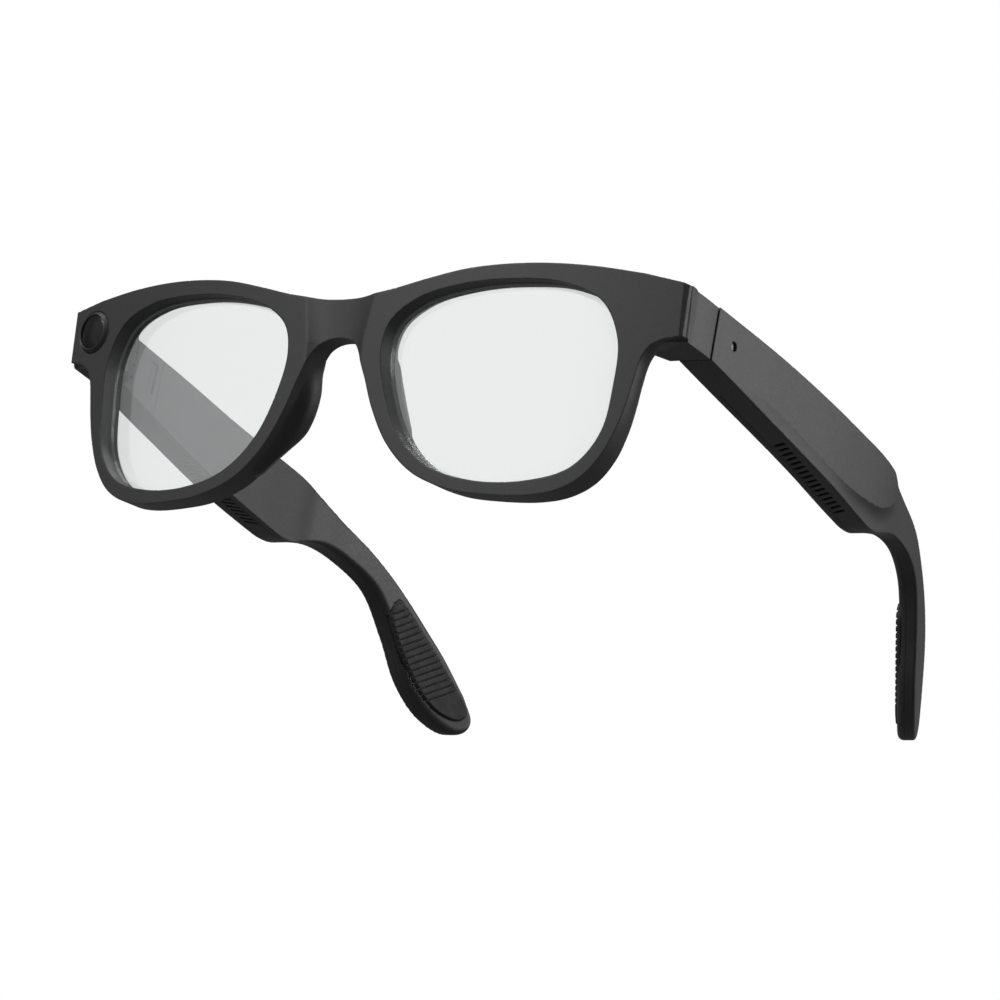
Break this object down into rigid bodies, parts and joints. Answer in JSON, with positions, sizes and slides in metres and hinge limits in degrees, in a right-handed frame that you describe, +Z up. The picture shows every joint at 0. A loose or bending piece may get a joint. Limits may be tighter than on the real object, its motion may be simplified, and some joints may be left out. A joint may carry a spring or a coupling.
{
  "type": "smart glasses",
  "caption": "Full-rim smart glasses with clear lenses, a camera in one end piece, thick folding arms with speaker slots, and ribbed ear grips.",
  "frame": {"origin": "centre of the bottom of the bounding box, on the surface that the rims and the arm tips stand on, with the arms open", "axes": "+X to the wearer's left, +Y from the front back along the arms, +Z up"},
  "size_m": [0.157, 0.1632, 0.048],
  "materials": {
    "frame_plastic": "fine satin black, moulded nylon",
    "lens_clear": "clear, coated, with a faint haze of reflection",
    "camera_glass": "dark glossy camera window",
    "circuit_laminate": "green solder mask",
    "flex_copper": "amber polyimide flex",
    "hinge_steel": "dark nickel steel",
    "grip_rubber": "matte black rubber",
    "speaker_plastic": "matte black speaker box",
    "mesh_steel": "fine woven mesh",
    "battery_foil": "satin pouch foil",
    "shield_steel": "plain tinned can"
  },
  "bodies": {
    "front": {"front_frame": "frame_plastic", "lens_left": "lens_clear", "lens_right": "lens_clear", "camera_bezel": "frame_plastic", "camera_window": "camera_glass", "camera_lens": "camera_glass", "camera_module": "circuit_laminate", "camera_flex": "flex_copper", "hinge_front_leaf_left": "hinge_steel", "hinge_front_leaf_right": "hinge_steel", "hinge_pin_left": "hinge_steel", "hinge_pin_right": "hinge_steel"},
    "arm_left": {"hinge_arm_leaf_left": "hinge_steel", "arm_shell_left": "frame_plastic", "arm_cover_left": "frame_plastic", "tip_grip_left": "grip_rubber", "speaker_left": "speaker_plastic", "speaker_grille_left": "mesh_steel", "battery_left": "battery_foil", "circuit_board_left": "circuit_laminate", "chip_shield_left": "shield_steel", "power_flex_left": "flex_copper", "touch_strip_left": "flex_copper", "microphone_left": "shield_steel", "microphone_mesh_left": "mesh_steel"},
    "arm_right": {"hinge_arm_leaf_right": "hinge_steel", "arm_shell_right": "frame_plastic", "arm_cover_right": "frame_plastic", "tip_grip_right": "grip_rubber", "speaker_right": "speaker_plastic", "speaker_grille_right": "mesh_steel", "battery_right": "battery_foil", "circuit_board_right": "circuit_laminate", "chip_shield_right": "shield_steel", "power_flex_right": "flex_copper", "touch_strip_right": "flex_copper", "button_switch": "shield_steel"},
    "capture_button": {"capture_button": "frame_plastic"}
  },
  "joints": [
    {"name": "arm_left_fold", "type": "hinge", "parent": "front", "child": "arm_left", "pos_m": [0.0682, -0.0593, 0.039], "axis": [0, 0, 1], "range_deg": [0, 87]},
    {"name": "arm_right_fold", "type": "hinge", "parent": "front", "child": "arm_right", "pos_m": [-0.0682, -0.0593, 0.039], "axis": [0, 0, -1], "range_deg": [0, 74]},
    {"name": "capture_button_press", "type": "slide", "parent": "arm_right", "child": "capture_button", "axis": [0, 0, -1], "range_m": [0, 0.0004], "stiffness_N_per_m": 2000, "springref_m": -0.0001}
  ]
}
